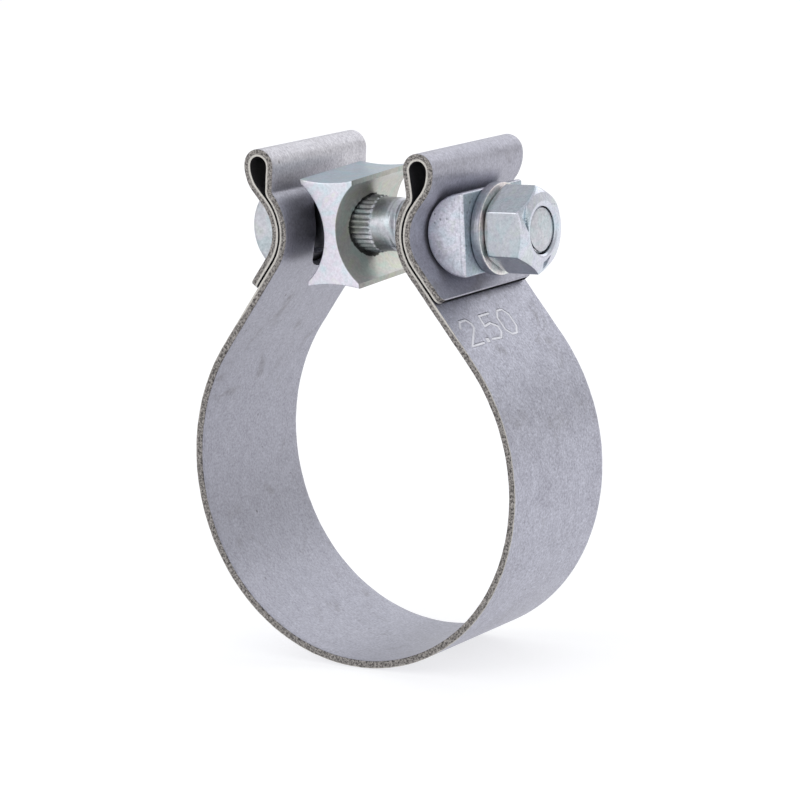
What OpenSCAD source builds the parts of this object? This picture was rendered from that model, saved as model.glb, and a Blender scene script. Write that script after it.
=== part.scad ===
/* [Ring] */
// Inner radius of the round lower part of the open ring
ring_r = 33.55; // [31:0.05:38]
// Half angle of the round lower part, from straight down
round_half_angle = 60; // [55:1:68]
// How much larger the inner radius is on the ring's two flatter sides
side_radius_gain = 3.15; // [0:0.05:5]
// Width of the strip, along the pipe
band_w = 31.75; // [26:0.25:44]
// Thickness of the strip
band_t = 1.35; // [0.8:0.05:1.8]

/* [Ears] */
// Height of the bolt above the top of the ring's circle
bolt_rise = 12.95; // [11.5:0.05:17]
// Opening between the two ears at the bolt
ear_gap = 24; // [18:0.5:32]
// Gap left between the two layers of the folded strip
fold_gap = 0.4; // [0.2:0.05:0.8]
// Angle above the bolt at which each seat ends in the neck
seat_rise = 40; // [34:1:46]
// Mid-line radius of the tight bend at the neck
neck_r = 1.6; // [1.2:0.1:2.1]
// Mid-line radius of the loop at the top of each ear
loop_r = 2.5; // [1.9:0.1:3.2]
// How far the loop's centre stands outwards of the neck
loop_out = 2.4; // [1.8:0.1:3.2]
// Height of the loop's centre above the neck
loop_rise = 5.65; // [4.6:0.05:8]
// Length of the straight flap below the seat, on the bolt head's side
flap_head = 6.6; // [4:0.1:9]
// Length of the straight flap below the seat, on the nut's side
flap_nut = 8; // [4:0.1:10]
// Width of the slots that the bolt passes through
slot_w = 11.6; // [11.2:0.1:14]
// How far the slots reach below the bolt
slot_down = 8; // [6.2:0.1:8.6]
// How far the slots reach above the bolt
slot_up = 6.5; // [6.2:0.1:6.8]
// Radius of the flaps' corners
flap_corner = 1.3; // [0.5:0.1:3]

/* [T-bolt] */
// Diameter over the thread
thread_d = 9.5; // [8:0.05:10]
// Diameter of the plain shank
shank_d = 10.1; // [10.1:0.05:10.6]
// Diameter over the splines
spline_d = 10.8; // [10.65:0.05:11.1]
// Depth of the splines
spline_depth = 0.3; // [0.1:0.05:0.5]
// Number of splines
spline_count = 30; // [16:2:40]
// Length of the splined part
spline_len = 8; // [6:0.5:10]
// Length of the plain shank between the splines and the thread
shank_len = 3.4; // [1:0.1:6]
// Length of the bolt under its head
bolt_len = 48.95; // [46:0.05:60]
// Length of the thread
thread_len = 30.9; // [28:0.1:33]
// Chamfer at the tip of the bolt
tip_chamfer = 0.7; // [0.2:0.1:1.2]
// Length of the head, along the pipe
head_len = 22; // [16:0.5:28]
// Thickness of the head
head_t = 7.7; // [6:0.05:9]
// Radius of the head's domed outer side
head_dome_r = 9.1; // [8.4:0.1:14]

/* [Reaction block] */
// Width of the block across its corners
block_w = 11.5; // [9:0.1:13]
// Height of the block
block_h = 20.2; // [17:0.1:20.4]
// Length of the block, along the pipe
block_len = 20.8; // [16:0.2:28]
// Thickness of the block at its waist
block_waist = 2.7; // [2:0.1:4]
// Radius of the hollow on each side
block_side_r = 11.8; // [11:0.1:16]
// Radius of the shallow hollows at top and bottom, that of the pipe
block_pipe_r = 31.75; // [25:0.25:60]
// Distance of the block's middle from the ring's middle plane, on the head's side
block_offset = 5.95; // [5.5:0.05:6.5]
// How far the block has turned about the bolt
block_turn = 2.5; // [-5:0.5:5]
// Clearance all round between the block's hole and the splines that it hangs on
block_clear = 0.3; // [0.1:0.05:0.4]

/* [Thrust bar] */
// Radius of the half-round bar, and of the underside of the bolt's head
bar_r = 7.7; // [7:0.05:8.5]
// Thickness of the bar from its round side to its flat
bar_t = 7.9; // [7:0.05:9]
// Length of the bar, along the pipe
bar_len = 20.8; // [16:0.2:28]
// How much larger the seats are than the bar
seat_clear = 0.1; // [0.05:0.05:0.5]
// Play between the bar and its seat while the nut stands slack
bar_play = 0.4; // [0.02:0.02:0.6]
// Clearance between the bar's hole and the thread
bar_clear = 0.45; // [0.2:0.05:0.8]

/* [Washer and nut] */
// Outside diameter of the washer
washer_d = 17.1; // [16:0.1:22]
// Thickness of the washer
washer_t = 1.95; // [1.2:0.05:3]
// Clearance between the washer's hole and the thread
washer_clear = 0.35; // [0.1:0.05:0.8]
// Worn rounding of the washer's edges
washer_edge = 0.35; // [0.1:0.05:0.5]
// Size of the nut across its flats
nut_af = 14.3; // [13:0.1:17]
// Height of the nut
nut_h = 8.45; // [6:0.05:10]
// Height of the chamfer at the nut's foot
nut_foot = 0.75; // [0.3:0.05:1.2]
// How far the nut's round foot face lies inside its flats
foot_inset = 0.3; // [0.1:0.05:0.6]
// Height over which the nut's corners draw in at its top
nut_crown = 1.35; // [0.8:0.05:2]
// How far the crown's shoulder lies inside the flats
shoulder_inset = 0.25; // [0.1:0.05:0.6]
// How far the crown's shoulder lies below the nut's top
shoulder_drop = 0.4; // [0.2:0.05:0.7]
// Width of the flat rim round the hole at the nut's top
rim_w = 0.6; // [0.3:0.05:0.8]
// Depth of the three crimps that lock the nut on its thread
crimp_depth = 0.5; // [0.2:0.05:0.9]
// Length of a crimp, from its point beside the rim
crimp_len = 3.6; // [2.5:0.1:4.5]
// Width of a crimp's open end
crimp_w = 1.9; // [1:0.1:2.5]
// Angle round the nut from a corner to a crimp's point
crimp_place = 23; // [0:1:60]
// Angle between a crimp and the radius through its point
crimp_turn = 75; // [45:1:90]
// Clearance between the nut and the thread
nut_clear = 0.06; // [0.02:0.01:0.09]
// Clearance between parts that rest on each other
rest_gap = 0.05; // [0.02:0.01:0.1]

/* [Hidden] */

// How far cuts run past the surfaces that they open
past = 1;
// Facets of small and large circles, and degrees per facet on the strip's bends
small_fn = 64;
large_fn = 180;
wide_step = 3;
tight_step = 7.5;

bolt_z = ring_r + bolt_rise;

// Mid-line radii of the ring's two kinds of arc, and the centre of the flatter one
round_mid_r = ring_r + band_t / 2;
side_mid_r = round_mid_r + side_radius_gain;
side_x = -side_radius_gain * sin(round_half_angle);
side_z = side_radius_gain * cos(round_half_angle);

// The seats: both layers of an ear follow arcs about one centre
seat_r = bar_r + seat_clear;
ear_t = 2 * band_t + fold_gap;
seat_x = ear_gap / 2 + ear_t + seat_r;
seat_face_x = ear_gap / 2 + ear_t;
outer_seat_r = seat_r + band_t / 2;
inner_seat_r = outer_seat_r + band_t + fold_gap;

// The leg is the straight that touches the side arc and the inner layer's seat arc
leg_dx = seat_x - side_x;
leg_dz = bolt_z - side_z;
leg_span = norm([leg_dx, leg_dz]);
leg_lean = atan2(leg_dz, leg_dx) + asin((inner_seat_r + side_mid_r) / leg_span) - 90;
leg_len = sqrt(pow(leg_span, 2) - pow(inner_seat_r + side_mid_r, 2));

// The neck: a tight bend and the straight that touches it and the loop, both measured
// from the end of the inner layer's seat arc
neck_dx = loop_out + neck_r * cos(seat_rise);
neck_dz = loop_rise - neck_r * sin(seat_rise);
neck_span = norm([neck_dx, neck_dz]);
neck_lean = atan2(neck_dz, neck_dx) + asin((neck_r + loop_r) / neck_span) - 90;
neck_len = sqrt(pow(neck_span, 2) - pow(neck_r + loop_r, 2));

// The shoulder: the outer layer's way from the loop's side down to its own seat arc
layer_pitch = band_t + fold_gap;
shoulder_dx = loop_out + loop_r - layer_pitch * cos(seat_rise);
shoulder_dz = loop_rise + layer_pitch * sin(seat_rise);
shoulder_r = (shoulder_dz * sin(seat_rise) - shoulder_dx * cos(seat_rise)) / (1 - cos(seat_rise));
shoulder_len = (shoulder_dx - shoulder_r * (1 - cos(seat_rise))) / sin(seat_rise);

// The bolt's stations along its axis
head_x = -seat_face_x - rest_gap;
tip_x = head_x + bolt_len;
thread_x = tip_x - thread_len;
shank_x = thread_x - shank_len;
spline_x = shank_x - spline_len;

// The block's hole hangs on the top of the splines
block_z = bolt_z - block_clear + rest_gap;

// The stack on the nut's side
bar_x = seat_face_x + bar_play;
washer_x = bar_x + bar_t + rest_gap;
nut_x = washer_x + washer_t + rest_gap;
nut_corner_r = nut_af / sqrt(3);

// Turns a shape drawn about +Z so that it lies along the bolt
module on_bolt(x) {
    translate([x, 0, bolt_z])
        rotate([0, 90, 0])
            children();
}

// Extrudes an outline drawn in X and Z over a length centred on the ring's middle
module along_pipe(l) {
    translate([0, l / 2, 0])
        rotate([90, 0, 0])
            linear_extrude(height = l)
                children();
}

// A station is a point of the strip's mid-line with its heading: [x, z, heading]
function after_straight(s, l) = [s[0] + l * cos(s[2]), s[1] + l * sin(s[2]), s[2]];

function after_bend(s, r, turn) =
    let (heading = s[2] + turn)
    [
        s[0] + sign(turn) * r * (sin(heading) - sin(s[2])),
        s[1] - sign(turn) * r * (cos(heading) - cos(s[2])),
        heading
    ];

// The stations along a list of steps: [length, 0] is a straight, and [radius, angle] is
// a bend to the left, or to the right where the angle is negative
function stations(s, steps, i = 0) =
    i == len(steps) ? [s] :
    let (size = steps[i][0], turn = steps[i][1])
    turn == 0 ? concat([s], stations(after_straight(s, size), steps, i + 1)) :
    let (facets = ceil(abs(turn) / (size > ring_r ? wide_step : tight_step)))
    concat(
        [for (k = [0 : facets - 1]) after_bend(s, size, turn * k / facets)],
        stations(after_bend(s, size, turn), steps, i + 1)
    );

// One side of the strip from the foot of the ring: up the side and the leg, round the
// seat and the loop, and back down outside to the end of the flap
function side_and_ear(flap) = stations([0, -round_mid_r, 0], [
    [round_mid_r, round_half_angle],
    [side_mid_r, 90 + leg_lean - round_half_angle],
    [leg_len, 0],
    [inner_seat_r, -leg_lean - seat_rise],
    [neck_r, seat_rise + neck_lean],
    [neck_len, 0],
    [loop_r, -180 - neck_lean],
    [shoulder_r, -seat_rise],
    [shoulder_len, 0],
    [outer_seat_r, seat_rise + leg_lean],
    [flap, 0]
]);

// A station moved off the mid-line, to the left of its heading
function beside(s, d) = [s[0] - d * sin(s[2]), s[1] + d * cos(s[2])];

// The round lower part keeps some stock inside, which the pipe's bore then cuts to size
function bore_stock(s) = s[1] < 0 && abs(s[2]) < round_half_angle ? band_t / 4 : 0;

// The folded strip seen along the pipe
module strip_outline() {
    nut_side = side_and_ear(flap_nut);
    head_side = side_and_ear(flap_head);
    whole = concat(
        [for (k = [len(head_side) - 1 : -1 : 1]) [-head_side[k][0], head_side[k][1], -head_side[k][2]]],
        nut_side
    );
    last = len(whole) - 1;
    polygon(concat(
        [for (s = whole) beside(s, -band_t / 2)],
        [for (k = [last : -1 : 0]) beside(whole[k], band_t / 2 + bore_stock(whole[k]))]
    ));
}

// The slot through both ears, for the bolt
module bolt_slot() {
    reach = seat_x - bar_r / 2;
    low = slot_w / 2 - slot_down;
    high = slot_up - slot_w / 2;
    translate([-reach, 0, bolt_z])
        rotate([0, 90, 0]) {
            for (z = [low, high])
                translate([-z, 0, 0])
                    cylinder(h = 2 * reach, d = slot_w, $fn = small_fn);
            translate([-high, -slot_w / 2, 0])
                cube([high - low, slot_w, 2 * reach]);
        }
}

// What rounding takes off the two corners of a flap that ends at a station
module flap_corners(s) {
    depth = band_t + fold_gap;
    translate([s[0], 0, s[1]])
        rotate([0, -s[2], 0])
            for (side = [0, 1])
                mirror([0, side, 0])
                    translate([-flap_corner, band_w / 2 - flap_corner, -depth / 2])
                        linear_extrude(height = depth)
                            difference() {
                                square(flap_corner + past);
                                circle(r = flap_corner, $fn = small_fn);
                            }
}

// The folded strip: a ring with two doubled ears
module band() {
    nut_side = side_and_ear(flap_nut);
    head_side = side_and_ear(flap_head);
    color("lightslategray")
        difference() {
            along_pipe(band_w)
                strip_outline();
            rotate([90, 0, 0])
                cylinder(h = band_w + 2 * past, r = ring_r, center = true, $fn = large_fn);
            bolt_slot();
            flap_corners(nut_side[len(nut_side) - 1]);
            mirror([1, 0, 0])
                flap_corners(head_side[len(head_side) - 1]);
        }
}

// The splines: a round bar with sharp ribs along it
module splines() {
    crest = spline_d / 2;
    root = crest - spline_depth;
    step = 180 / spline_count;
    linear_extrude(height = spline_len)
        polygon([for (i = [0 : 2 * spline_count - 1])
            let (r = i % 2 == 0 ? crest : root)
            [r * cos(i * step), r * sin(i * step)]]);
}

// The T-bolt: a head that is round underneath and domed outside, on a splined shank
module t_bolt() {
    head_outer_x = head_x - head_t;
    color("silver")
        union() {
            along_pipe(head_len)
                intersection() {
                    translate([head_x - bar_r, bolt_z])
                        circle(r = bar_r, $fn = small_fn);
                    translate([head_outer_x + head_dome_r, bolt_z])
                        circle(r = head_dome_r, $fn = small_fn);
                }
            on_bolt(head_x - bar_r / 2)
                cylinder(h = thread_x - head_x + bar_r / 2, d = shank_d, $fn = small_fn);
            on_bolt(spline_x)
                splines();
            on_bolt(thread_x)
                rotate_extrude($fn = small_fn)
                    polygon([
                        [0, 0],
                        [thread_d / 2, 0],
                        [thread_d / 2, thread_len - tip_chamfer],
                        [thread_d / 2 - tip_chamfer, thread_len],
                        [0, thread_len]
                    ]);
        }
}

// The block that rides on the splines between the ears, hollow on all four sides
module reaction_block() {
    side_x_mid = block_waist / 2 + block_side_r;
    pipe_mid = sqrt(pow(block_pipe_r, 2) - pow(block_w / 2, 2)) + block_h / 2;
    color("lightsteelblue")
        translate([-block_offset, 0, block_z])
            rotate([block_turn, 0, 0])
                difference() {
                    along_pipe(block_len)
                        difference() {
                            square([block_w, block_h], center = true);
                            for (side = [-1, 1]) {
                                translate([side * side_x_mid, 0])
                                    circle(r = block_side_r, $fn = large_fn);
                                translate([0, side * pipe_mid])
                                    circle(r = block_pipe_r, $fn = large_fn);
                            }
                        }
                    rotate([0, 90, 0])
                        cylinder(h = block_w + 2 * past, d = spline_d + 2 * block_clear,
                                 center = true, $fn = small_fn);
                }
}

// The half-round bar that nests in the nut-side seat and carries the washer
module thrust_bar() {
    color("gainsboro")
        difference() {
            along_pipe(bar_len)
                intersection() {
                    translate([bar_x + bar_r, bolt_z])
                        circle(r = bar_r, $fn = small_fn);
                    translate([bar_x, bolt_z - bar_r])
                        square([bar_t, 2 * bar_r]);
                }
            on_bolt(bar_x - past)
                cylinder(h = bar_t + 2 * past, d = thread_d + 2 * bar_clear, $fn = small_fn);
        }
}

module washer() {
    outer = washer_d / 2;
    inner = thread_d / 2 + washer_clear;
    color("darkgray")
        on_bolt(washer_x)
            rotate_extrude($fn = small_fn)
                polygon([
                    [inner, 0],
                    [outer - washer_edge, 0],
                    [outer, washer_edge],
                    [outer, washer_t - washer_edge],
                    [outer - washer_edge, washer_t],
                    [inner, washer_t]
                ]);
}

// A crimp: a three-sided pit whose point lies beside the rim, and which runs out where
// the crown falls away
module crimp() {
    linear_extrude(height = crimp_depth + past)
        polygon([[0, 0], [crimp_len, -crimp_w / 2], [crimp_len, crimp_w / 2]]);
}

// A hexagon lock nut: chamfered foot, drawn-in crown and three crimps
module nut() {
    hole_r = thread_d / 2 + nut_clear;
    rim_r = hole_r + rim_w;
    color("gainsboro")
        on_bolt(nut_x)
            difference() {
                intersection() {
                    cylinder(h = nut_h, r = nut_corner_r, $fn = 6);
                    rotate_extrude($fn = small_fn)
                        polygon([
                            [0, 0],
                            [nut_af / 2 - foot_inset, 0],
                            [nut_corner_r, nut_foot],
                            [nut_corner_r, nut_h - nut_crown],
                            [nut_af / 2 - shoulder_inset, nut_h - shoulder_drop],
                            [rim_r, nut_h],
                            [0, nut_h]
                        ]);
                }
                translate([0, 0, -past])
                    cylinder(h = nut_h + 2 * past, r = hole_r, $fn = small_fn);
                for (corner = [0, 120, 240])
                    rotate([0, 0, corner + crimp_place])
                        translate([rim_r, 0, nut_h - crimp_depth])
                            rotate([0, 0, -crimp_turn])
                                crimp();
            }
}

band();
t_bolt();
reaction_block();
thrust_bar();
washer();
nut();
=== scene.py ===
"""Looks of an exhaust clamp: a folded steel strip, drawn together by a T-bolt and its nut."""
from math import asin, atan2, cos, hypot, radians, sin, sqrt, pi

import bpy
import numpy as np
from mathutils import Matrix, Vector


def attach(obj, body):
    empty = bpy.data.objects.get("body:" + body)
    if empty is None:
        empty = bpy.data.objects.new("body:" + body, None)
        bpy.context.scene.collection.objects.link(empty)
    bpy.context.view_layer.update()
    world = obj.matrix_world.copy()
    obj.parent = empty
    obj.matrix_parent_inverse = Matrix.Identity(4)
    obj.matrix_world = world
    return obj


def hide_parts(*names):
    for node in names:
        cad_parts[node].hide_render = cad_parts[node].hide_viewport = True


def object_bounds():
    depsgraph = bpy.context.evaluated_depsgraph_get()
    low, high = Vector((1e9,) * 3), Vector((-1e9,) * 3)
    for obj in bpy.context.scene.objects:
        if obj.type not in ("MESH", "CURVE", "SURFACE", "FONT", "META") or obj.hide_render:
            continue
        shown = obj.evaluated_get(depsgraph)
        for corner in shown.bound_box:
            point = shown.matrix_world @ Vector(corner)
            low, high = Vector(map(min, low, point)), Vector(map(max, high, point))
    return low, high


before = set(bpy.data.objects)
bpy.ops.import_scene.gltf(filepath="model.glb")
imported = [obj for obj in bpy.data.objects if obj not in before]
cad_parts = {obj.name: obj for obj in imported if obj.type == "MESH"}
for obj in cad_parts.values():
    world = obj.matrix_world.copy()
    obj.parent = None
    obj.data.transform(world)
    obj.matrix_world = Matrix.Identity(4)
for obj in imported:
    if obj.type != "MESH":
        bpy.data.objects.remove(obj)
cad_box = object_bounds()

# Lengths are in millimetres and angles in radians, until a mesh is made
MM = 0.001

# The strip
RING_R = 33.55
ROUND_HALF_ANGLE = radians(60)
SIDE_RADIUS_GAIN = 3.15
BAND_W = 31.75
BAND_T = 1.35
BOLT_Z = RING_R + 12.95
EAR_GAP = 24.0
FOLD_GAP = 0.4
SEAT_RISE = radians(40)
NECK_R = 1.6
LOOP_R = 2.5
LOOP_OUT = 2.4
LOOP_RISE = 5.65
FLAP_HEAD = 6.6
FLAP_NUT = 8.0
FLAP_CORNER = 1.3
SLOT_W = 11.6
SLOT_DOWN = 8.0
SLOT_UP = 6.5
SLOT_TUCK = 2.3
ROLL_OVER = 0.2
BURR_R = 0.07

# A number stamped under the nut-side flap: its place, its strokes across and along the strip
MARK_Y = -13.0
MARK_ALONG = 82.6
MARK_STROKE = 0.62
MARK_DIGITS = [
    [(0, 4.0), (0.8, 5.2), (3.0, 5.2), (4, 4.2), (4, 3.3), (0, 0), (4, 0)],
    [(5.4, 0.0), (5.4, 0.5), (5.9, 0.5), (5.9, 0.0), (5.4, 0.0)],
    [(11, 5.2), (7.6, 5.2), (7.4, 3), (9.6, 3.3), (11.2, 2.3), (11.2, 1), (10, 0), (7.2, 0.2)],
    [(14, 0), (15.6, 0), (16.8, 1.3), (16.8, 3.9), (15.6, 5.2), (14, 5.2), (12.8, 3.9),
     (12.8, 1.3), (14, 0)],
]

# The T-bolt
THREAD_D = 9.5
PITCH = 1.5875
THREAD_DEPTH = 0.92
RUN_OUT = 3.2
SHANK_D = 10.1
SPLINE_D = 10.8
SPLINE_DEPTH = 0.34
SPLINE_COUNT = 30
SPLINE_LEN = 8.0
SHANK_LEN = 3.4
BOLT_LEN = 48.95
THREAD_LEN = 30.9
TIP_CHAMFER = 0.7
TIP_DOME = 0.35
HEAD_LEN = 22.0
HEAD_T = 7.7
HEAD_DOME_R = 9.1
HEAD_EDGE = 0.7

# The block
BLOCK_W = 11.5
BLOCK_H = 20.2
BLOCK_LEN = 20.8
BLOCK_WAIST = 2.7
BLOCK_SIDE_R = 11.8
BLOCK_PIPE_R = 31.75
BLOCK_OFFSET = 5.95
BLOCK_TURN = radians(2.5)
BLOCK_CLEAR = 0.3
BLOCK_EDGE = 0.22

# The thrust bar, washer and nut
BAR_R = 7.7
BAR_T = 7.9
BAR_LEN = 20.8
BAR_EDGE = 0.35
BAR_CLEAR = 0.45
BAR_PLAY = 0.4
SEAT_CLEAR = 0.1
WASHER_D = 17.1
WASHER_T = 1.95
WASHER_CLEAR = 0.35
WASHER_EDGE = 0.35
NUT_AF = 14.3
NUT_H = 8.45
NUT_FOOT = 0.75
NUT_FOOT_INSET = 0.3
NUT_CROWN = 1.35
NUT_SHOULDER_INSET = 0.25
NUT_SHOULDER_DROP = 0.4
NUT_RIM_W = 0.6
NUT_EDGE = 0.22
NUT_HOLE_R = 4.4
CRIMP_DEPTH = 0.5
CRIMP_LEN = 3.6
CRIMP_W = 1.9
CRIMP_SLOPE = 4.0
CRIMP_PLACE = radians(23 - 90)
CRIMP_TURN = radians(75)
NUT_CLEAR = 0.06
REST_GAP = 0.05

# Places that follow from the sizes
EAR_T = 2 * BAND_T + FOLD_GAP
SEAT_R = BAR_R + SEAT_CLEAR
SEAT_X = EAR_GAP / 2 + EAR_T + SEAT_R
SEAT_FACE_X = EAR_GAP / 2 + EAR_T
OUTER_SEAT_R = SEAT_R + BAND_T / 2
INNER_SEAT_R = OUTER_SEAT_R + BAND_T + FOLD_GAP
HEAD_X = -SEAT_FACE_X - REST_GAP
TIP_X = HEAD_X + BOLT_LEN
THREAD_X = TIP_X - THREAD_LEN
SHANK_X = THREAD_X - SHANK_LEN
SPLINE_X = SHANK_X - SPLINE_LEN
BAR_X = SEAT_FACE_X + BAR_PLAY
WASHER_X = BAR_X + BAR_T + REST_GAP
NUT_X = WASHER_X + WASHER_T + REST_GAP
NUT_CORNER_R = NUT_AF / sqrt(3)
BLOCK_Z = BOLT_Z - BLOCK_CLEAR + REST_GAP

# The camera, as the photograph has it
VIEW_AZIMUTH = radians(33.263)
VIEW_ELEVATION = radians(10.466)
VIEW_ROLL = radians(-2.581)
VIEW_DISTANCE = 669.75
VIEW_AIM = Vector((-0.19, 2.03, 12.71))
VIEW_LENS = 159.95


# Meshes

def add_piece(name, points, faces, body, node, materials, facts=None, flat=None):
    """A mesh piece from points in millimetres and arrays of faces, that stands for a node.

    Points that no face uses are dropped, so a grid may leave out some of its cells.
    """
    used = np.unique(np.concatenate([f.ravel() for f in faces]))
    place = np.zeros(len(points), dtype=int)
    place[used] = np.arange(len(used))
    corners = np.concatenate([place[f].ravel() for f in faces]).astype(np.int32)
    sizes = np.concatenate([np.full(len(f), f.shape[1]) for f in faces]).astype(np.int32)
    mesh = bpy.data.meshes.new(name)
    mesh.vertices.add(len(used))
    mesh.vertices.foreach_set("co", (points[used] * MM).astype(np.float32).ravel())
    mesh.loops.add(len(corners))
    mesh.loops.foreach_set("vertex_index", corners)
    mesh.polygons.add(len(sizes))
    mesh.polygons.foreach_set("loop_start", (np.cumsum(sizes) - sizes).astype(np.int32))
    for key, values in (facts or {}).items():
        layer = mesh.attributes.new(key, "FLOAT", "POINT")
        layer.data.foreach_set("value", values[used].astype(np.float32))
    mesh.update(calc_edges=True)
    mesh.validate()
    mesh.polygons.foreach_set("use_smooth", np.ones(len(mesh.polygons), dtype=bool))
    if flat is not None:
        mesh.set_sharp_from_angle(angle=flat)
    for material in materials:
        mesh.materials.append(material)
    piece = bpy.data.objects.new(name, mesh)
    bpy.context.scene.collection.objects.link(piece)
    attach(piece, body)
    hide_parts(node)
    return piece


def grid_faces(index, wrap=False, keep=None):
    """Four-sided faces between the rows and columns of a table of point numbers."""
    if wrap:
        index = np.concatenate([index, index[:, :1]], axis=1)
    quads = np.stack([index[:-1, :-1], index[1:, :-1], index[1:, 1:], index[:-1, 1:]], axis=-1)
    if keep is not None:
        quads = quads[keep]
    return quads.reshape(-1, 4)


def quarter(steps):
    """Cosine and sine of the angles inside a quarter turn, its ends left out."""
    angle = np.linspace(0, pi / 2, steps + 1)[1:-1]
    return np.cos(angle), np.sin(angle)


# The folded strip

def walk(steps):
    """Stations along straights and arcs from the ring's foot: x, z, heading and distance.

    A step is (length, turn, spacing). With curvature k, the point s into a step lies at
    x + (sin(h + k s) - sin h) / k and z - (cos(h + k s) - cos h) / k.
    """
    rows = [np.array([[0.0, -RING_R - BAND_T / 2, 0.0, 0.0]])]
    for length, turn, spacing in steps:
        x, z, h, run = rows[-1][-1]
        s = np.linspace(0, length, int(np.ceil(length / spacing)) + 1)[1:]
        k = turn / length
        if turn:
            dx, dz = (np.sin(h + k * s) - sin(h)) / k, (cos(h) - np.cos(h + k * s)) / k
        else:
            dx, dz = s * cos(h), s * sin(h)
        rows.append(np.stack([x + dx, z + dz, h + k * s, run + s], axis=1))
    return np.concatenate(rows)


def strip_side(flap):
    """One side of the strip's mid-line: ring, leg, seat, neck, loop, outer seat and flap."""
    round_r = RING_R + BAND_T / 2
    side_r = round_r + SIDE_RADIUS_GAIN
    leg_dx = SEAT_X + SIDE_RADIUS_GAIN * sin(ROUND_HALF_ANGLE)
    leg_dz = BOLT_Z - SIDE_RADIUS_GAIN * cos(ROUND_HALF_ANGLE)
    leg_span = hypot(leg_dx, leg_dz)
    leg_lean = atan2(leg_dz, leg_dx) + asin((INNER_SEAT_R + side_r) / leg_span) - pi / 2
    neck_dx = LOOP_OUT + NECK_R * cos(SEAT_RISE)
    neck_dz = LOOP_RISE - NECK_R * sin(SEAT_RISE)
    neck_span = hypot(neck_dx, neck_dz)
    neck_lean = atan2(neck_dz, neck_dx) + asin((NECK_R + LOOP_R) / neck_span) - pi / 2
    pitch = BAND_T + FOLD_GAP
    dx = LOOP_OUT + LOOP_R - pitch * cos(SEAT_RISE)
    dz = LOOP_RISE + pitch * sin(SEAT_RISE)
    shoulder_r = (dz * sin(SEAT_RISE) - dx * cos(SEAT_RISE)) / (1 - cos(SEAT_RISE))
    wide, fine, tiny = 1.1, 0.4, 0.12
    arcs = [
        (round_r, ROUND_HALF_ANGLE, wide),
        (side_r, pi / 2 + leg_lean - ROUND_HALF_ANGLE, wide / 2),
        (sqrt(leg_span ** 2 - (INNER_SEAT_R + side_r) ** 2), 0, fine),
        (INNER_SEAT_R, -leg_lean - SEAT_RISE, fine),
        (NECK_R, SEAT_RISE + neck_lean, fine),
        (sqrt(neck_span ** 2 - (NECK_R + LOOP_R) ** 2), 0, fine),
        (LOOP_R, -pi - neck_lean, fine),
        (shoulder_r, -SEAT_RISE, fine),
        ((dx - shoulder_r * (1 - cos(SEAT_RISE))) / sin(SEAT_RISE), 0, fine),
        (OUTER_SEAT_R, SEAT_RISE + leg_lean, fine),
        (flap - FLAP_CORNER, 0, fine),
        (FLAP_CORNER, 0, tiny),
    ]
    return walk([(size * abs(turn) if turn else size, turn, spacing) for size, turn, spacing in arcs])


def slot_half_width(rise, down):
    """Half the slot's width at a height over the bolt: a slot with half-round ends."""
    half = SLOT_W / 2
    past_end = np.maximum(half - down - rise, 0) + np.maximum(rise - SLOT_UP + half, 0)
    return np.sqrt(np.maximum(half ** 2 - past_end ** 2, 0))


def strip_columns(slot, half_w, half_t):
    """Outline of one half of the strip's section, as columns of (across, through).

    It runs over the outer face, round the sheared edge, back over the inner face and down
    the slot's wall. The corners are quarter circles, small where the shear left its burr.
    """
    faces_outer, faces_inner = 50, 16
    slot_r = np.minimum(BURR_R, slot)
    low, high = slot + slot_r, half_w - BURR_R
    cols = [(low + (high - low) * f, -half_t) for f in np.linspace(0, 1, faces_outer + 1)]
    for c, s in zip(*quarter(3)):
        cols.append((half_w - BURR_R * (1 - s), -half_t + BURR_R * (1 - c)))
    bottom, top = BURR_R - half_t, half_t - ROLL_OVER
    cols += [(half_w, bottom + (top - bottom) * f) for f in np.linspace(0, 1, 6)]
    for c, s in zip(*quarter(4)):
        cols.append((half_w - ROLL_OVER * (1 - c), half_t - ROLL_OVER * (1 - s)))
    high = half_w - ROLL_OVER
    cols += [(low + (high - low) * f, half_t) for f in np.linspace(1, 0, faces_inner + 1)]
    for f in np.linspace(0, 1, 4):
        cols.append((slot, (half_t - slot_r) * (1 - 2 * f)))
    across = np.stack([c[0] + 0 * slot for c in cols], axis=1)
    through = np.stack([c[1] + 0 * slot for c in cols], axis=1)
    wall = len(cols) - 5
    return across, through, faces_outer, wall


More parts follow.
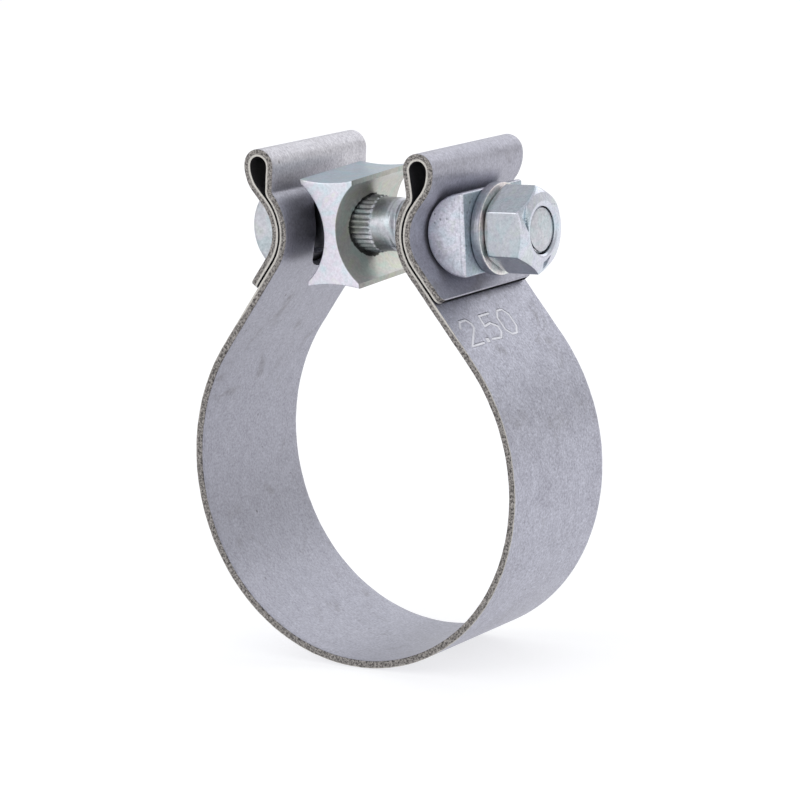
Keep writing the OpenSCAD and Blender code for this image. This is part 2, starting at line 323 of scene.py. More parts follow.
def band_mesh():
    """The strip, worked out flat as (along, across, through) and then bent along its path."""
    nut_side = strip_side(FLAP_NUT)
    head_side = strip_side(FLAP_HEAD)[:0:-1] * [-1, 1, -1, -1]
    x, z, heading, along = np.concatenate([head_side, nut_side]).T
    to_end = np.minimum(along[-1] - along, along - along[0])
    corner = np.maximum(FLAP_CORNER - to_end, 0)
    end = np.maximum(ROLL_OVER - to_end, 0)
    half_w = BAND_W / 2 - FLAP_CORNER + np.sqrt(FLAP_CORNER ** 2 - corner ** 2)
    half_w = half_w + 0.02 * np.sin(along * 0.9) + 0.015 * np.sin(along * 2.3 + 1)
    half_t = BAND_T / 2 - ROLL_OVER + np.sqrt(ROLL_OVER ** 2 - end ** 2)
    loop_top = np.abs(along[np.argmax(z)])
    down = np.where(np.abs(along) > loop_top, SLOT_DOWN - SLOT_TUCK, SLOT_DOWN)
    slot = slot_half_width(z - BOLT_Z, down)
    across, through, outer_last, wall = strip_columns(slot, half_w, half_t)
    rows, cols = across.shape
    index = np.arange(rows * cols).reshape(rows, cols)
    mirror = index + rows * cols
    middle = np.zeros(cols, dtype=bool)
    middle[0] = True
    middle[wall:] = True
    closed = slot == 0
    mirror = np.where(closed[:, None] & middle[None, :], index, mirror)
    keep = np.ones((rows - 1, cols), dtype=bool)
    keep[:, wall:] = ~(closed[:-1] & closed[1:])[:, None]
    points = []
    for side in (1, -1):
        points.append(np.stack([
            x[:, None] - through * np.sin(heading)[:, None],
            side * across,
            z[:, None] + through * np.cos(heading)[:, None],
        ], axis=-1).reshape(-1, 3))
    caps = []
    for row, step in ((0, 1), (-1, -1)):
        loop = np.concatenate([index[row, :wall + 1], mirror[row, wall:0:-1]])
        caps.append(loop[::step][None, :])
    faces = [grid_faces(index, True, keep), grid_faces(mirror, True, keep)[:, ::-1]] + caps
    edge = np.zeros(cols)
    edge[outer_last + 1:wall - 16] = 1
    flat_facts = {
        "along": along[:, None] * MM,
        "through": 0.5 - through / BAND_T,
        "edge": edge[None, :],
    }
    facts = {}
    for key, values in flat_facts.items():
        facts[key] = np.tile(np.broadcast_to(values, (rows, cols)).ravel(), 2)
    return np.concatenate(points), faces, facts


# The bolt and its parts

def on_bolt(x, radius, angle):
    """Points at a distance along the bolt, a radius and an angle about it from +Y."""
    return np.stack([x, radius * np.cos(angle), BOLT_Z + radius * np.sin(angle)], axis=-1)


def thread_depth(turns):
    """Depth of a 60 degree thread at a phase in turns: flat crest, slopes and flat root."""
    phase = np.abs((turns + 0.5) % 1 - 0.5) * PITCH
    crest, slope = PITCH / 16, THREAD_DEPTH * sin(radians(30)) / cos(radians(30))
    return THREAD_DEPTH * np.clip((phase - crest) / slope, 0, 1)


def smooth_step(x, low, high):
    """0 below low and 1 above high, with level ends."""
    f = np.clip((x - low) / (high - low), 0, 1)
    return f * f * (3 - 2 * f)


def shank_radius(x, angle):
    """Radius of the bolt at a distance along it and an angle about it.

    Ribs stand on the splined length, a plain shank follows, and a right-hand thread runs
    to the chamfered tip.
    """
    ribs = 0.5 + 0.5 * np.cos(angle * SPLINE_COUNT)
    splined = smooth_step(x, SPLINE_X - 0.4, SPLINE_X) * (1 - smooth_step(x, SHANK_X - 0.3, SHANK_X + 0.25))
    root = SPLINE_D / 2 - SPLINE_DEPTH
    body = root + (SHANK_D / 2 - root) * smooth_step(x, SHANK_X - 0.3, SHANK_X + 0.25)
    body = body + splined * SPLINE_DEPTH * ribs ** 0.7
    cut = thread_depth((x - THREAD_X) / PITCH - angle / (2 * pi))
    crest = SHANK_D / 2 + (THREAD_D / 2 - SHANK_D / 2) * smooth_step(x, THREAD_X - 0.5, THREAD_X + RUN_OUT)
    cut = cut * smooth_step(x, THREAD_X - 0.2, THREAD_X + RUN_OUT * 1.3)
    radius = np.where(x < THREAD_X - 0.5, body, crest - cut)
    tip = THREAD_D / 2 - TIP_CHAMFER + (TIP_X - TIP_DOME - x)
    return np.minimum(radius, np.maximum(tip, THREAD_D / 2 - TIP_CHAMFER))


def shank_mesh():
    """The shank as a surface of revolution whose radius shank_radius works out."""
    per_turn = SPLINE_COUNT * 6
    angle = np.arange(per_turn) * 2 * pi / per_turn
    x = np.concatenate([
        np.arange(HEAD_X - BAR_R / 2, SPLINE_X - 0.5, 0.8),
        np.arange(SPLINE_X - 0.5, SPLINE_X + 0.2, 0.1),
        np.arange(SPLINE_X + 0.3, SHANK_X - 0.4, 0.6),
        np.arange(SHANK_X - 0.4, SHANK_X + 0.4, 0.1),
        np.arange(SHANK_X + 0.5, THREAD_X - 0.8, 0.4),
        np.arange(THREAD_X - 0.8, TIP_X - TIP_DOME, PITCH / 14),
        [TIP_X - TIP_DOME],
    ])
    grid_x, grid_angle = np.meshgrid(x, angle, indexing="ij")
    points = [on_bolt(grid_x, shank_radius(grid_x, grid_angle), grid_angle)]
    flat_r = THREAD_D / 2 - TIP_CHAMFER
    for f in np.linspace(1, 0, 9)[1:-1]:
        dome = TIP_X - TIP_DOME * f * f
        points.append(on_bolt(np.full((1, per_turn), dome), flat_r * f, angle[None, :]))
    points = np.concatenate(points)
    rows = len(points)
    index = np.arange(rows * per_turn).reshape(rows, per_turn)
    caps = [index[:1, ::-1], index[-1:, :]]
    return points.reshape(-1, 3), [grid_faces(index, True)[:, ::-1]] + caps


def rounded(loop, corners, size, steps=4):
    """A loop of points whose named corners are cut back and bridged by a parabola."""
    out = []
    count = len(loop)
    for i, p in enumerate(loop):
        if i not in corners:
            out.append(p)
            continue
        before, after = loop[i - 1] - p, loop[(i + 1) % count] - p
        a = p + before / np.linalg.norm(before) * size
        b = p + after / np.linalg.norm(after) * size
        for f in np.linspace(0, 1, steps + 1):
            out.append((1 - f) ** 2 * a + 2 * f * (1 - f) * p + f ** 2 * b)
    return np.array(out)


def outward(loop):
    """Unit normals of a counter-clockwise loop in X and Z, at its points."""
    along = np.roll(loop, -1, axis=0) - np.roll(loop, 1, axis=0)
    normal = np.stack([along[:, 1], -along[:, 0]], axis=1)
    return normal / np.linalg.norm(normal, axis=1, keepdims=True)


def bar_mesh(loop, length, edge, convex=True, steps=4):
    """A section in X and Z carried along Y, its ends rounded by quarter circles.

    Towards an end the section shrinks: a convex one about its middle, in X and in Z by
    the same distance, and any other along its normals.
    """
    turn = np.linspace(0, pi / 2, steps + 1)
    inset = np.concatenate([[edge * 1.5], edge * (1 - np.sin(turn))])
    reach = np.concatenate([[0], edge * (1 - np.cos(turn))])
    y = np.concatenate([reach - length / 2, (length / 2 - reach)[::-1]])
    inset = np.concatenate([inset, inset[::-1]])[:, None, None]
    middle = (loop.max(axis=0) + loop.min(axis=0)) / 2
    half = (loop.max(axis=0) - loop.min(axis=0)) / 2
    inward = (middle - loop) / half if convex else -outward(loop)
    section = loop[None, :, :] + inward[None, :, :] * inset
    points = np.stack([section[:, :, 0], np.broadcast_to(y[:, None], section.shape[:2]), section[:, :, 1]], axis=-1)
    rows, cols = section.shape[:2]
    index = np.arange(rows * cols).reshape(rows, cols)
    return points.reshape(-1, 3), [grid_faces(index, True), index[:1, :], index[-1:, ::-1]]


def arc(cx, cz, r, start, stop, steps):
    """Points of a circle's arc, both ends included."""
    a = np.linspace(start, stop, steps + 1)
    return np.stack([cx + r * np.cos(a), cz + r * np.sin(a)], axis=1)


def head_section():
    """The head seen along the pipe: a round underside and a flatter dome outside."""
    under_x, dome_x = HEAD_X - BAR_R, HEAD_X - HEAD_T + HEAD_DOME_R
    span = dome_x - under_x
    meet_x = (BAR_R ** 2 - HEAD_DOME_R ** 2 + span ** 2) / (2 * span)
    meet_z = sqrt(BAR_R ** 2 - meet_x ** 2)
    a = atan2(meet_z, meet_x)
    b = atan2(meet_z, meet_x - span)
    under = arc(under_x, BOLT_Z, BAR_R, -a, a, 48)
    dome = arc(dome_x, BOLT_Z, HEAD_DOME_R, b, 2 * pi - b, 40)[1:-1]
    loop = np.concatenate([under, dome])
    return rounded(loop, (0, 48), 0.25, 3)


def block_section():
    """The block seen along the pipe: every side is an arc that hollows it."""
    half_w, half_h = BLOCK_W / 2, BLOCK_H / 2
    pipe_z = half_h + sqrt(BLOCK_PIPE_R ** 2 - half_w ** 2)
    side_x = BLOCK_WAIST / 2 + BLOCK_SIDE_R
    half_pipe = asin(half_w / BLOCK_PIPE_R)
    reach = sqrt(BLOCK_SIDE_R ** 2 - (side_x - half_w) ** 2)
    half_side = asin(reach / BLOCK_SIDE_R)
    loops = [
        arc(side_x, 0, BLOCK_SIDE_R, pi + half_side, pi - half_side, 48),
        arc(0, pipe_z, BLOCK_PIPE_R, -pi / 2 + half_pipe, -pi / 2 - half_pipe, 12),
        arc(-side_x, 0, BLOCK_SIDE_R, half_side, -half_side, 48),
        arc(0, -pipe_z, BLOCK_PIPE_R, pi / 2 + half_pipe, pi / 2 - half_pipe, 12),
    ]
    return np.concatenate(loops)


def bar_section():
    """The thrust bar seen along the pipe: a round cut off by a flat."""
    over = BAR_T - BAR_R
    a = pi - asin(sqrt(BAR_R ** 2 - over ** 2) / BAR_R)
    loop = arc(BAR_X + BAR_R, BOLT_Z, BAR_R, pi - a, pi + a, 72)
    return rounded(loop, (0, len(loop) - 1), 0.4, 4)


def revolved(profile, steps=128):
    """A closed profile of (along, radius) turned about the bolt."""
    angle = np.arange(steps) * 2 * pi / steps
    x = np.broadcast_to(profile[:, :1], (len(profile), steps))
    points = on_bolt(x, profile[:, 1:] + 0 * angle[None, :], np.broadcast_to(angle, x.shape))
    index = np.arange(points.shape[0] * steps).reshape(-1, steps)
    index = np.concatenate([index, index[:1]])
    return points.reshape(-1, 3), [grid_faces(index, True)]


def washer_mesh():
    """The washer: a ring whose punched edges are rolled over on one side."""
    outer, inner = WASHER_D / 2, THREAD_D / 2 + WASHER_CLEAR
    loop = np.array([[0, inner], [0, outer], [WASHER_T, outer], [WASHER_T, inner]])
    loop = rounded(loop, (0, 1, 2, 3), WASHER_EDGE, 4)
    steps = []
    for a, b in zip(loop, np.roll(loop, -1, axis=0)):
        count = max(1, int(np.ceil(np.linalg.norm(b - a) / 0.6)))
        steps += [a + (b - a) * k / count for k in range(count)]
    return revolved(np.array(steps) + [WASHER_X, 0])


def hex_radius(angle):
    """Radius of a hexagon with corners at the top and foot, its corners eased a little."""
    sixth = (angle - pi / 2 + pi / 6) % (pi / 3) - pi / 6
    flat = NUT_AF / 2 / np.cos(np.abs(np.abs(sixth) - pi / 6))
    return -np.log(np.exp(-40 * flat) + np.exp(-40 * (NUT_CORNER_R - 0.06))) / 40


def soft_min(a, b, blend):
    """The lower of two heights, with the corner between them eased over a blend."""
    near = np.clip(0.5 + 0.5 * (a - b) / blend, 0, 1)
    return a * (1 - near) + b * near - blend * near * (1 - near)


def crown_height(radius, angle):
    """Height of the nut's top: a rim and two cones, and a three-sided pit by every other flat.

    A pit's floor is level. Its point lies on the rim, and it widens away from there.
    """
    rim_r = THREAD_D / 2 + NUT_CLEAR + NUT_RIM_W
    places = [rim_r, NUT_AF / 2 - NUT_SHOULDER_INSET, NUT_CORNER_R]
    drops = [0, NUT_SHOULDER_DROP, NUT_CROWN]
    top = NUT_H - np.interp(radius, places, drops)
    for k in range(3):
        place = CRIMP_PLACE + k * 2 * pi / 3
        aim = place - CRIMP_TURN
        y = radius * np.cos(angle) - rim_r * cos(place)
        z = radius * np.sin(angle) - rim_r * sin(place)
        ahead, aside = y * cos(aim) + z * sin(aim), np.abs(z * cos(aim) - y * sin(aim))
        wall = (aside - ahead * CRIMP_W / 2 / CRIMP_LEN) * CRIMP_SLOPE
        wall = np.maximum(wall, -ahead * CRIMP_SLOPE)
        top = soft_min(top, NUT_H - CRIMP_DEPTH + np.maximum(wall, -0.15), 0.05)
    return top


def nut_mesh():
    """The nut as rings from the hole's foot over the base, sides and crown to its rim."""
    steps = 432
    angle = np.arange(steps) * 2 * pi / steps
    level = np.zeros(steps)
    wall = hex_radius(angle)
    hole_r = THREAD_D / 2 + NUT_CLEAR
    foot_r = NUT_AF / 2 - NUT_FOOT_INSET
    rows = [(hole_r + level, 0.4 + level), (hole_r + 0.4 + level, level)]
    for f in np.linspace(0, 1, 10)[1:]:
        r = hole_r + 0.4 + (wall - NUT_EDGE - hole_r - 0.4) * f
        rows.append((r, NUT_FOOT * np.clip((r - foot_r) / (NUT_CORNER_R - foot_r), 0, 1)))
    foot = NUT_FOOT * (wall - foot_r) / (NUT_CORNER_R - foot_r)
    for c, s in zip(*quarter(3)):
        rows.append((wall - NUT_EDGE * (1 - s), foot + NUT_EDGE * (1 - c)))
    low, high = foot + NUT_EDGE, crown_height(wall, angle) - NUT_EDGE
    for f in np.linspace(0, 1, 9):
        rows.append((wall, low + (high - low) * f))
    for c, s in zip(*quarter(3)):
        rows.append((wall - NUT_EDGE * (1 - c), high + NUT_EDGE * s))
    inner = hole_r + 0.1
    for f in np.linspace(1, 0, 44):
        r = inner + (wall - NUT_EDGE * 1.1 - inner) * f
        rows.append((r, crown_height(r, angle)))
    for r, drop in ((hole_r - 0.08, 0.06), (NUT_HOLE_R, 0.35), (NUT_HOLE_R, 0.6), (hole_r, 0.95)):
        rows.append((r + level, crown_height(inner + level, angle) - drop))
    radius = np.stack([r for r, _ in rows])
    height = np.stack([h for _, h in rows])
    points = on_bolt(NUT_X + height, radius, np.broadcast_to(angle, radius.shape))
    index = np.arange(radius.size).reshape(radius.shape)
    index = np.concatenate([index, index[:1]])
    return points.reshape(-1, 3), [grid_faces(index, True)]


def drill(piece, radius, low, high, drop=0.0):
    """Cuts a round hole through a piece, along the bolt or a little below it."""
    profile = np.array([[low, 0.001], [low, radius], [high, radius], [high, 0.001]])
    points, faces = revolved(profile, 96)
    points = points - [0, 0, drop]
    mesh = bpy.data.meshes.new("cutter")
    mesh.from_pydata((points * MM).tolist(), [], np.concatenate(faces).tolist())
    cutter = bpy.data.objects.new("cutter", mesh)
    bpy.context.scene.collection.objects.link(cutter)
    cut = piece.modifiers.new("hole", "BOOLEAN")
    cut.operation = "DIFFERENCE"
    cut.solver = "EXACT"
    cut.object = cutter
    graph = bpy.context.evaluated_depsgraph_get()
    made = bpy.data.meshes.new_from_object(piece.evaluated_get(graph))
    piece.modifiers.clear()
    piece.data = made
    bpy.data.objects.remove(cutter)
    made.set_sharp_from_angle(angle=radians(32))


# Finishes

class Value:
    """A shader socket that takes part in arithmetic as a number does."""

    def __init__(self, finish, socket):
        self.finish = finish
        self.socket = socket

    def math(self, kind, *others, swap=False):
        terms = [self, *others]
        if swap:
            terms.reverse()
        return self.finish.node("ShaderNodeMath", {"operation": kind}, dict(enumerate(terms)))

    def __add__(self, other): return self.math("ADD", other)
    def __radd__(self, other): return self.math("ADD", other)
    def __sub__(self, other): return self.math("SUBTRACT", other)
    def __rsub__(self, other): return self.math("SUBTRACT", other, swap=True)
    def __mul__(self, other): return self.math("MULTIPLY", other)
    def __rmul__(self, other): return self.math("MULTIPLY", other)
    def __truediv__(self, other): return self.math("DIVIDE", other)
    def __pow__(self, other): return self.math("POWER", other)

    def between(self, low, high):
        """0 below low and 1 above high, with level ends."""
        settings = {"interpolation_type": "SMOOTHSTEP"}
        return self.finish.node("ShaderNodeMapRange", settings, {0: self, 1: low, 2: high})


class Finish:
    """A material in the making. Its method node adds any node and returns an output."""

    def __init__(self, name, **constants):
        self.material = bpy.data.materials.new(name)
        self.material.use_nodes = True
        self.tree = self.material.node_tree
        self.shader = self.tree.nodes["Principled BSDF"]
        for socket, value in constants.items():
            self.shader.inputs[socket.replace("_", " ")].default_value = value

    def put(self, socket, value):
        if isinstance(value, Value):
            self.tree.links.new(value.socket, socket)
        elif value is not None:
            socket.default_value = value

    def node(self, kind, settings=None, values=None, out=0):
        made = self.tree.nodes.new(kind)
        for key, value in (settings or {}).items():
            if key == "stops":
                ramp = made.color_ramp
                for place, colour in value[:-1]:
                    ramp.elements.new(place).color = colour
                ramp.elements.remove(ramp.elements[0])
                ramp.elements[-1].position, ramp.elements[-1].color = value[-1]
            else:
                setattr(made, key, value)
        for key, value in (values or {}).items():
            self.put(made.inputs[key], value)
        return Value(self, made.outputs[out])

    def fact(self, name):
        return self.node("ShaderNodeAttribute", {"attribute_name": name}, out="Fac")

    def place(self):
        return self.node("ShaderNodeTexCoord", out="Object")

    def scaled(self, vector, scale):
        """A vector times three numbers."""
        return self.node("ShaderNodeVectorMath", {"operation": "MULTIPLY"}, {0: vector, 1: scale})

    def noise(self, vector, scale, detail=3.0, rough=0.5, twist=0.0):
        """Cloudy noise about 0.5, with cells of 1 / scale metres."""
        values = {"Vector": vector, "Scale": scale, "Detail": detail, "Roughness": rough,
                  "Distortion": twist}
        return self.node("ShaderNodeTexNoise", None, values)

    def cells(self, vector, scale, out="Distance", feature="F1"):
        return self.node("ShaderNodeTexVoronoi", {"feature": feature}, {"Vector": vector, "Scale": scale}, out)

    def groove(self, u, v, lines, width):
        """1 inside grooves that follow lines of points in the plane of u and v, else 0."""
        nearest = None
        for line in lines:
            for start, end in zip(line, line[1:]):
                du, dv = end[0] - start[0], end[1] - start[1]
                span = du * du + dv * dv
                pu, pv = u - start[0], v - start[1]
                t = (pu * (du / span) + pv * (dv / span)).math("MINIMUM", 1).math("MAXIMUM", 0)
                pu, pv = pu - t * du, pv - t * dv
                away = pu * pu + pv * pv
                nearest = away if nearest is None else nearest.math("MINIMUM", away)
        return 1 - nearest.math("SQRT").between(width * 0.3, width * 0.6)

    def facing(self, axis):
        """How far the surface faces along an axis of the object."""
        return self.node("ShaderNodeSeparateXYZ", None, {0: self.node("ShaderNodeNewGeometry", out="Normal")}, axis)

    def mix(self, amount, a, b):
        """Colour a where amount is 0 and colour b where it is 1."""
        made = self.tree.nodes.new("ShaderNodeMix")
        made.data_type = "RGBA"
        by_name = {s.identifier: s for s in made.inputs}
        self.put(by_name["Factor_Float"], amount)
        self.put(by_name["A_Color"], a)
        self.put(by_name["B_Color"], b)
        colour = next(s for s in made.outputs if s.identifier == "Result_Color")
        return Value(self, colour)

    def finish(self, colour, roughness, height=None, depth=0.0):
        self.put(self.shader.inputs["Base Color"], colour)
        self.put(self.shader.inputs["Roughness"], roughness)
        if height is not None:
            bump = self.node("ShaderNodeBump", None, {"Distance": depth, "Height": height, "Strength": 1.0})
            self.put(self.shader.inputs["Normal"], bump)
        return self.material


def strip_steel():
    """Rolled, coated steel sheet: lavender grey, mottled, with specks and sheared edges."""
    f = Finish("strip_steel", Metallic=0.9)
    place = f.place()
    along, through, edge = f.fact("along"), f.fact("through"), f.fact("edge")
    y = f.node("ShaderNodeSeparateXYZ", None, {0: place}, out="Y")
    flat = f.node("ShaderNodeCombineXYZ", None, {0: along, 1: y, 2: through * BAND_T * MM})
    cloud = f.noise(flat, 90, 4, 0.6)
    grain = f.noise(f.scaled(flat, (0.85, 1, 1)), 2300, 4, 0.75)
    mottle = f.noise(flat, 480, 4, 0.7)
    streak = f.noise(f.scaled(flat, (0.12, 1, 1)), 1500, 2, 0.6)
    speck = f.cells(flat, 420)
    chance = f.noise(flat, 260, 2, 0.5)
    pits = (1 - speck.between(0.05, 0.16)) * chance.between(0.56, 0.66)
    smudge = f.noise(flat, 130, 5, 0.65, 0.6).between(0.56, 0.74)
    tone = (cloud - 0.5) * 0.7 + (mottle - 0.5) * 0.8 + (grain - 0.5) * 2.6
    tone = tone + (streak - 0.5) * 0.3 + 0.5
    colour = f.mix(tone, (0.31, 0.305, 0.36, 1), (0.63, 0.635, 0.715, 1))
    x = f.node("ShaderNodeSeparateXYZ", None, {0: place}, out="X")
    z = f.node("ShaderNodeSeparateXYZ", None, {0: place}, out="Z")
    # Painted highlight: the tops of the loops are lightened, the left loop more, where light falls on them.
    painted_loop_light = z.between(0.052, 0.0575)
    colour = f.mix(painted_loop_light, colour, f.scaled(colour, (1.12, 1.11, 1.1)))
    painted_loop_light = painted_loop_light * (1 - x.between(-0.006, 0.0))
    colour = f.mix(painted_loop_light, colour, f.scaled(colour, (1.42, 1.4, 1.3)))
    # Painted shade: the strip's inner face is darkened a little.
    inside = 1 - through.between(0.02, 0.08)
    colour = f.mix(inside * 0.3, colour, (0.27, 0.265, 0.29, 1))
    colour = f.mix(smudge * 0.35, colour, (0.25, 0.235, 0.225, 1))
    colour = f.mix(pits * 0.6, colour, (0.12, 0.11, 0.11, 1))
    # Painted shade: the outer face beyond the folds, in the gap between the layers and inside the loops, is made
    # nearly black.
    fold_shade = f.fact("through").between(0.98, 1.0) * along.math("ABSOLUTE").between(0.0925, 0.0935)
    colour = f.mix(fold_shade * 0.85, colour, (0.09, 0.085, 0.09, 1))
    coarse = f.noise(flat, 2200, 3, 0.8)
    ear = along.math("ABSOLUTE").between(0.084, 0.09)
    torn = f.mix(coarse.between(0.36, 0.64), (0.07, 0.065, 0.063, 1), (0.42, 0.395, 0.375, 1))
    wave = f.noise(flat, 700, 2) * 0.2
    start = 0.8 - ear * 0.2 + wave
    cut_clean = (through - start).between(-0.06, 0.08) * (1 - coarse.between(0.5, 0.66) * 0.7)
    sheared = f.mix(cut_clean, torn, (0.62, 0.6, 0.56, 1))
    colour = f.mix(edge, colour, sheared)
    mark = f.groove(y * (1 / MM) - MARK_Y, along * (1 / MM) - MARK_ALONG, MARK_DIGITS, MARK_STROKE)
    mark = mark * through.between(0.6, 0.9)
    # Painted highlight: the stamped strokes are lightened, besides being cut in by the bump.
    colour = f.mix(mark * 0.6, colour, (0.85, 0.85, 0.88, 1))
    rough = 0.47 + (cloud - 0.5) * 0.25 + smudge * 0.1 + edge * 0.15
    height = grain * 0.5 + streak * 0.3 - pits * 1.2 + edge * coarse * 2 - mark * 14
    return f.finish(colour, rough, height, 0.00002)


def zinc(name, dark, light, roughness, tint=0.25, pitted=0.0, mottled=1.0, lathe=False,
         shaded_bore=None, painted_facing_light=(), shaded_stretch=None):
    """Bright zinc plating, with a faint play of colours and fine tool marks.

    A bore, given as (height, radius) in millimetres, is a hole along X whose wall is painted near
    black as shade. Faces that look along an axis, given as (axis, low, high, colour), have their
    colour times that one, as painted light or shade. A stretch along X, given as (low, high) in
    millimetres, is painted near black as shade between parts.
    """
    f = Finish(name, Metallic=1.0)
    place = f.place()
    cloud = f.noise(place, 160, 3, 0.6)
    grain = f.noise(place, 2400, 3, 0.7)
    hue = f.noise(place, 300, 2, 0.5, 0.8)
    speckle = f.noise(place, 1500, 3, 0.75)
    tone = (cloud - 0.5) * 0.8 + (grain - 0.5) * 1.2 + (speckle - 0.5) * 1.8
    tone = tone * mottled + 0.5
    colour = f.mix(tone, dark, light)
    play = f.node("ShaderNodeValToRGB", {"stops": [
        (0.34, (0.66, 0.82, 0.86, 1)), (0.46, (0.8, 0.8, 0.85, 1)),
        (0.55, (0.88, 0.76, 0.86, 1)), (0.66, (0.84, 0.85, 0.74, 1))]}, {0: hue})
    colour = f.mix(tint, colour, play)
    height = grain * 0.5
    if pitted:
        speck = f.cells(place, 900)
        pits = (1 - speck.between(0.1, 0.3)) * f.noise(place, 220, 2).between(0.5, 0.62)
        colour = f.mix(pits * 0.6 * pitted, colour, (0.12, 0.12, 0.13, 1))
        height = height - pits * 2 * pitted
    if lathe:
        turned = f.noise(f.scaled(place, (1, 0.04, 0.04)), 2800, 2)
        height = height + turned * 1.6
    # Painted shade: the hole's wall and a thin ring round its rim are made near black.
    if shaded_bore:
        y = f.node("ShaderNodeSeparateXYZ", None, {0: place}, out="Y")
        z = f.node("ShaderNodeSeparateXYZ", None, {0: place}, out="Z") - shaded_bore[0] * MM
        ragged = (speckle - 0.5) * 0.0009
        far = (y * y + z * z).math("SQRT") + ragged
        wall = 1 - far.between((shaded_bore[1] + 0.15) * MM, (shaded_bore[1] + 0.35) * MM)
        colour = f.mix(wall * 0.95, colour, (0.02, 0.02, 0.02, 1))
    # Painted shade: the given stretch along X is made near black, as shade between parts.
    if shaded_stretch:
        x = f.node("ShaderNodeSeparateXYZ", None, {0: place}, out="X") * (1 / MM)
        painted_shade = x.between(shaded_stretch[0] - 0.2, shaded_stretch[0] + 0.2)
        painted_shade = painted_shade * (1 - x.between(shaded_stretch[1] - 0.3, shaded_stretch[1] + 0.1))
        colour = f.mix(painted_shade * 0.93, colour, (0.04, 0.04, 0.045, 1))
    # Painted light and shade: faces that look along an axis have their colour scaled up or down.
    for axis, low, high, factor in painted_facing_light:
        colour = f.mix(f.facing(axis).between(low, high), colour, f.scaled(colour, factor))
    return f.finish(colour, roughness + (cloud - 0.5) * 0.2, height, 0.00002)


# The studio

def add_light(name, place, aim, size, power, colour=(1, 1, 1)):
    """A square area lamp at a place in metres, turned towards a point."""
    data = bpy.data.lights.new(name, "AREA")
    data.shape = "RECTANGLE"
    data.size, data.size_y = size
    data.energy = power
    data.color = colour
    lamp = bpy.data.objects.new(name, data)
    lamp.location = place
    lamp.rotation_euler = (Vector(place) - Vector(aim)).to_track_quat("Z", "Y").to_euler()
    bpy.context.scene.collection.objects.link(lamp)


def seen_directly(tree):
    """1 on rays from the camera, in mirrors and through glass, and 0 on light's own rays."""
    path = tree.nodes.new("ShaderNodeLightPath")
    total = path.outputs["Is Camera Ray"]
    for name in ("Is Glossy Ray", "Is Transmission Ray"):
        add = tree.nodes.new("ShaderNodeMath")
        add.operation = "MAXIMUM"
        tree.links.new(total, add.inputs[0])
        tree.links.new(path.outputs[name], add.inputs[1])
        total = add.outputs[0]
    return total


def add_world():
    """A studio that is white round the horizon and dims a little overhead and to the right."""
    world = bpy.data.worlds.new("studio")
    bpy.context.scene.world = world
    world.use_nodes = True
    tree = world.node_tree
    place = tree.nodes.new("ShaderNodeTexCoord")
    split = tree.nodes.new("ShaderNodeSeparateXYZ")
    ramp = tree.nodes.new("ShaderNodeValToRGB")
    ramp.color_ramp.elements.new(0.3).color = (0.86, 0.87, 0.88, 1)
    ramp.color_ramp.elements[0].position = 0.1
    ramp.color_ramp.elements[0].color = (1.0, 1.0, 1.0, 1)
    ramp.color_ramp.elements[2].position = 0.9
    ramp.color_ramp.elements[2].color = (0.8, 0.82, 0.86, 1)
    tree.links.new(place.outputs["Generated"], split.inputs[0])
    tree.links.new(split.outputs["Z"], ramp.inputs[0])
    tree.links.new(ramp.outputs[0], tree.nodes["Background"].inputs["Color"])
    dim = tree.nodes.new("ShaderNodeMapRange")
    dim.inputs["From Min"].default_value = 0.1
    dim.inputs["From Max"].default_value = 0.8
    dim.inputs["To Min"].default_value = 1.0
    dim.inputs["To Max"].default_value = 0.76
    tree.links.new(split.outputs["X"], dim.inputs["Value"])
    tree.links.new(dim.outputs[0], tree.nodes["Background"].inputs["Strength"])


def add_floor():
    """A wide pale floor under the ring, that shows white and keeps a soft shadow."""
    size = 3.0
    z = float(cad_box[0][2]) - 0.0002
    mesh = bpy.data.meshes.new("floor")
    mesh.from_pydata([(-size, -size, z), (size, -size, z), (size, size, z), (-size, size, z)], [], [(0, 1, 2, 3)])
    floor = bpy.data.objects.new("floor", mesh)
    bpy.context.scene.collection.objects.link(floor)
    material = bpy.data.materials.new("floor_paper")
    material.use_nodes = True
    tree = material.node_tree
    shader = tree.nodes["Principled BSDF"]
    shader.inputs["Base Color"].default_value = (0.45, 0.45, 0.46, 1)
    shader.inputs["Roughness"].default_value = 0.9
    shader.inputs["Specular IOR Level"].default_value = 0.0
    shader.inputs["Emission Color"].default_value = (1, 1, 1, 1)
    strength = tree.nodes.new("ShaderNodeMath")
    strength.operation = "MULTIPLY"
    strength.inputs[1].default_value = 0.66
    tree.links.new(seen_directly(tree), strength.inputs[0])
    tree.links.new(strength.outputs[0], shader.inputs["Emission Strength"])
    mesh.materials.append(material)


def add_camera():
    """The camera at the photograph's angle, distance and roll, aimed near the ring's top."""
    back = Vector((sin(VIEW_AZIMUTH) * cos(VIEW_ELEVATION),
                   -cos(VIEW_AZIMUTH) * cos(VIEW_ELEVATION), sin(VIEW_ELEVATION)))
    level = Vector((0, 0, 1)).cross(back).normalized()
    up = back.cross(level)
    right = level * cos(VIEW_ROLL) + up * sin(VIEW_ROLL)
    data = bpy.data.cameras.new("camera")
    data.lens = VIEW_LENS
    data.sensor_width = 36
    camera = bpy.data.objects.new("camera", data)
    axes = Matrix((right, back.cross(right), back)).transposed().to_4x4()
    camera.matrix_world = Matrix.Translation((VIEW_AIM + back * VIEW_DISTANCE) * MM) @ axes
    bpy.context.scene.collection.objects.link(camera)
    bpy.context.scene.camera = camera


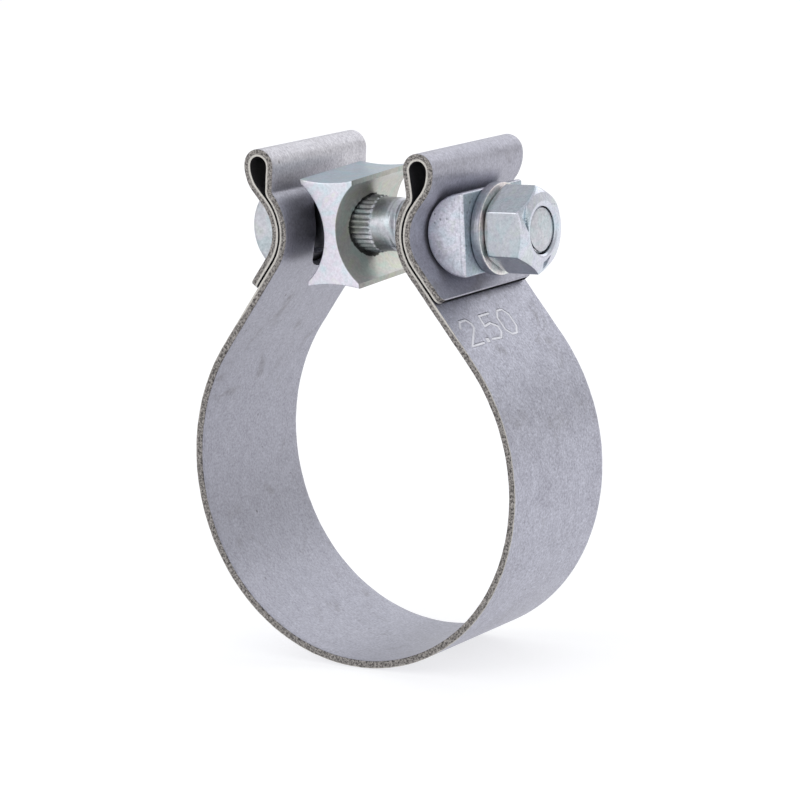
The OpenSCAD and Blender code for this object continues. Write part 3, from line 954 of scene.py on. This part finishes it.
def add_pieces():
    steel = strip_steel()
    hole = BLOCK_Z, SPLINE_D / 2 + BLOCK_CLEAR
    # Painted light and shade by facing: the block's top and right hollow and the bar's flat are darkened, and the
    # faces of the washer, bolt and nut that look towards +X are lightened.
    block_painted_facing_light = [("X", 0.25, 0.8, (0.76, 0.77, 0.64)), ("Z", 0.7, 0.95, (0.6, 0.69, 0.71))]
    washer_painted_facing_light = [("X", 0.5, 0.9, (2.35, 2.2, 1.9))]
    bar_painted_facing_light = [("X", 0.8, 0.95, (0.7, 0.8, 0.8))]
    bolt_zinc = zinc("bolt_zinc", (0.22, 0.24, 0.26, 1), (0.55, 0.58, 0.61, 1), 0.36, 0.2,
                     mottled=0.8, lathe=True, painted_facing_light=[("X", 0.6, 0.95, (1.22, 1.22, 1.2))],
                     shaded_stretch=(HEAD_X, -BLOCK_OFFSET - BLOCK_WAIST / 2))
    block_zinc = zinc("block_zinc", (0.4, 0.41, 0.46, 1), (0.74, 0.76, 0.83, 1), 0.4, 0.4,
                      shaded_bore=hole, painted_facing_light=block_painted_facing_light)
    bar_zinc = zinc("bar_zinc", (0.36, 0.38, 0.44, 1), (0.74, 0.76, 0.84, 1), 0.44, 0.2, 1.0,
                    mottled=1.2, painted_facing_light=bar_painted_facing_light)
    # Painted shade: the washer's colour is dark, so its rim stays dark while its face is lightened by its facing
    # factor.
    washer_steel = zinc("washer_steel", (0.14, 0.145, 0.18, 1), (0.36, 0.37, 0.42, 1), 0.4, 0.15,
                        lathe=True, painted_facing_light=washer_painted_facing_light)
    nut_zinc = zinc("nut_zinc", (0.23, 0.27, 0.3, 1), (0.44, 0.485, 0.515, 1), 0.22, 0.2,
                    mottled=0.9, painted_facing_light=[("X", 0.2, 0.5, (1.4, 1.37, 1.4))])

    points, faces, facts = band_mesh()
    add_piece("folded_strip", points, faces, "clamp", "band", [steel], facts, radians(50))

    points, faces = shank_mesh()
    head_points, head_faces = bar_mesh(head_section(), HEAD_LEN, HEAD_EDGE)
    faces = faces + [f + len(points) for f in head_faces]
    points = np.concatenate([points, head_points])
    add_piece("threaded_t_bolt", points, faces, "clamp", "t_bolt", [bolt_zinc], None, radians(40))

    points, faces = bar_mesh(block_section(), BLOCK_LEN, BLOCK_EDGE, False)
    turned = np.stack([
        points[:, 0] - BLOCK_OFFSET,
        points[:, 1] * cos(BLOCK_TURN) - points[:, 2] * sin(BLOCK_TURN),
        BLOCK_Z + points[:, 1] * sin(BLOCK_TURN) + points[:, 2] * cos(BLOCK_TURN),
    ], axis=1)
    block = add_piece("hollowed_block", turned, faces, "clamp", "reaction_block", [block_zinc])
    low, high = -BLOCK_OFFSET - BLOCK_W, -BLOCK_OFFSET + BLOCK_W
    drill(block, SPLINE_D / 2 + BLOCK_CLEAR, low, high, BOLT_Z - BLOCK_Z)

    points, faces = bar_mesh(bar_section(), BAR_LEN, BAR_EDGE)
    bar = add_piece("half_round_bar", points, faces, "clamp", "thrust_bar", [bar_zinc])
    drill(bar, THREAD_D / 2 + BAR_CLEAR, BAR_X - 2, BAR_X + BAR_T + 2)

    points, faces = washer_mesh()
    add_piece("flat_washer", points, faces, "washer", "washer", [washer_steel], None, radians(40))
    points, faces = nut_mesh()
    add_piece("crimped_nut", points, faces, "nut", "nut", [nut_zinc], None, radians(30))


bpy.context.scene.view_settings.view_transform = "Standard"
add_camera()
add_world()
add_floor()
add_light("front", (-0.35, -0.8, 0.35), (0, 0, 0.02), (0.5, 0.6), 1.3)
add_light("side", (0.8, -0.35, 0.3), (0, 0, 0.02), (0.4, 0.6), 0.4)
add_light("back", (0.05, 0.75, 0.5), (0, 0, 0.02), (1.0, 0.4), 0.9)
add_pieces()
